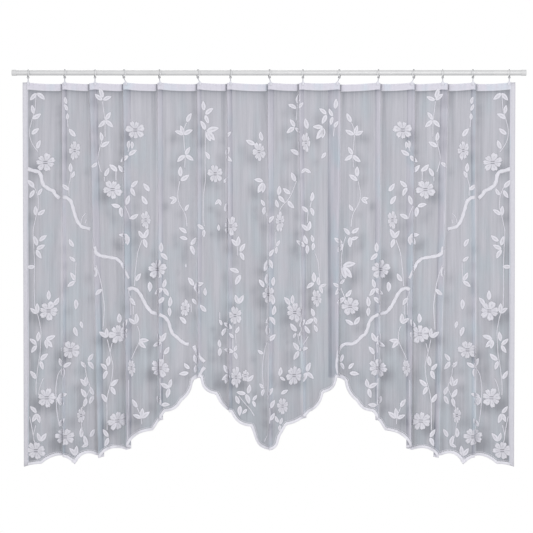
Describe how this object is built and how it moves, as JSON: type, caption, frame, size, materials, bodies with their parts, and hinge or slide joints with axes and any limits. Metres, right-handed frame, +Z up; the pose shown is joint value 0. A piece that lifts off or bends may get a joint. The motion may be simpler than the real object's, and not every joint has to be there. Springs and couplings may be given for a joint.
{
  "type": "embroidered net curtain on a rod with rings",
  "caption": "Sheer embroidered curtain with a scalloped M-shaped hem, hung in uneven pleats by clips and rings from a round rod with end caps.",
  "frame": {"origin": "middle of the rod's axis, halfway between the end caps", "axes": "+X along the rod to the right as seen from the room, +Y away from the room towards the window, +Z up; the face of the curtain looks to -Y"},
  "size_m": [1.94, 0.0605, 1.4999],
  "materials": {
    "net_cloth": "sheer white voile net with fine upright ribs, matte",
    "embroidery": "raised white satin-stitch embroidery, soft sheen",
    "heading_tape": "woven white gathering tape, matte",
    "rod": "white lacquered tube, satin",
    "end_cap": "white moulded cap, satin",
    "ring_plastic": "white moulded ring, slightly glossy",
    "clip_plastic": "milky moulded clip, slightly glossy"
  },
  "bodies": {
    "root": {"curtain": "net_cloth", "heading_tape": "heading_tape", "rod": "rod", "end_cap_left": "end_cap", "end_cap_right": "end_cap", "ring_01": "ring_plastic", "ring_02": "ring_plastic", "ring_03": "ring_plastic", "ring_04": "ring_plastic", "ring_05": "ring_plastic", "ring_06": "ring_plastic", "ring_07": "ring_plastic", "ring_08": "ring_plastic", "ring_09": "ring_plastic", "ring_10": "ring_plastic", "ring_11": "ring_plastic", "ring_12": "ring_plastic", "ring_13": "ring_plastic", "ring_14": "ring_plastic", "ring_15": "ring_plastic", "clip_01": "clip_plastic", "clip_02": "clip_plastic", "clip_03": "clip_plastic", "clip_04": "clip_plastic", "clip_05": "clip_plastic", "clip_06": "clip_plastic", "clip_07": "clip_plastic", "clip_08": "clip_plastic", "clip_09": "clip_plastic", "clip_10": "clip_plastic", "clip_11": "clip_plastic", "clip_12": "clip_plastic", "clip_13": "clip_plastic", "clip_14": "clip_plastic", "clip_15": "clip_plastic"}
  },
  "joints": []
}
